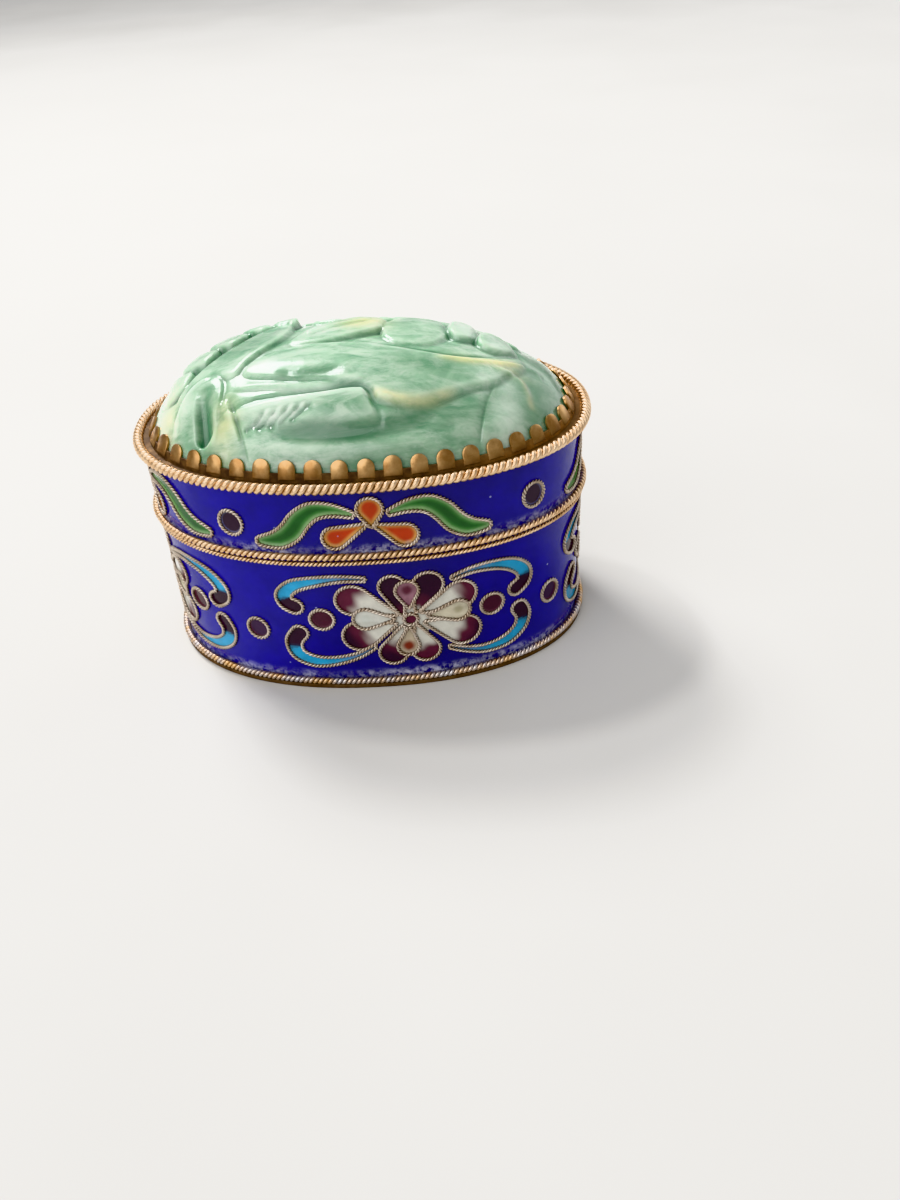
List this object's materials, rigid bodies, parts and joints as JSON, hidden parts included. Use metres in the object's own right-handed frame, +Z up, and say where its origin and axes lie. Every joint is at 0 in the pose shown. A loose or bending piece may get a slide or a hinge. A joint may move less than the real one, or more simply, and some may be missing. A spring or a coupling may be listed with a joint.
{
  "type": "jade box",
  "caption": "Oval enamelled trinket box with a lift-off lid, twisted rope edging, flower wirework and a carved jade dome held by a strip of rounded tabs.",
  "frame": {"origin": "centre of the underside, on the surface that the box stands on", "axes": "+X along the oval's long way, +Z up, the main side looks to -Y"},
  "size_m": [0.0596, 0.0396, 0.0415],
  "materials": {
    "cup_metal": "aged gilt sheet, satin",
    "rope_metal": "gilt twisted wire, dark in its grooves",
    "wire_metal": "worn silvery-gilt fine wire",
    "blue_enamel": "glossy cobalt blue enamel",
    "jade": "polished pale green jade with whitish clouds"
  },
  "bodies": {
    "root": {"base_cup": "cup_metal", "base_dot_after_back": "wire_metal", "base_dot_after_front": "wire_metal", "base_dot_after_left": "wire_metal", "base_dot_after_right": "wire_metal", "base_enamel": "blue_enamel", "base_flower_wire_back": "wire_metal", "base_flower_wire_front": "wire_metal", "base_flower_wire_left": "wire_metal", "base_flower_wire_right": "wire_metal", "base_foot_rope": "rope_metal", "base_rim_rope": "rope_metal", "base_scroll_wire_1_back": "wire_metal", "base_scroll_wire_1_front": "wire_metal", "base_scroll_wire_1_left": "wire_metal", "base_scroll_wire_1_right": "wire_metal", "base_scroll_wire_2_back": "wire_metal", "base_scroll_wire_2_front": "wire_metal", "base_scroll_wire_2_left": "wire_metal", "base_scroll_wire_2_right": "wire_metal", "base_scroll_wire_3_back": "wire_metal", "base_scroll_wire_3_front": "wire_metal", "base_scroll_wire_3_left": "wire_metal", "base_scroll_wire_3_right": "wire_metal", "base_scroll_wire_4_back": "wire_metal", "base_scroll_wire_4_front": "wire_metal", "base_scroll_wire_4_left": "wire_metal", "base_scroll_wire_4_right": "wire_metal", "lid_dot_after_back": "wire_metal", "lid_dot_after_front": "wire_metal", "lid_dot_after_left": "wire_metal", "lid_dot_after_right": "wire_metal", "lid_edge_rope": "rope_metal", "lid_enamel": "blue_enamel", "lid_jade_stone": "jade", "lid_leaf_wire_a_back": "wire_metal", "lid_leaf_wire_a_front": "wire_metal", "lid_leaf_wire_a_left": "wire_metal", "lid_leaf_wire_a_right": "wire_metal", "lid_leaf_wire_b_back": "wire_metal", "lid_leaf_wire_b_front": "wire_metal", "lid_leaf_wire_b_left": "wire_metal", "lid_leaf_wire_b_right": "wire_metal", "lid_petal_wire_back": "wire_metal", "lid_petal_wire_front": "wire_metal", "lid_petal_wire_left": "wire_metal", "lid_petal_wire_right": "wire_metal", "lid_shell": "cup_metal", "lid_tab_strip": "rope_metal", "lid_top_rope": "rope_metal"}
  },
  "joints": []
}
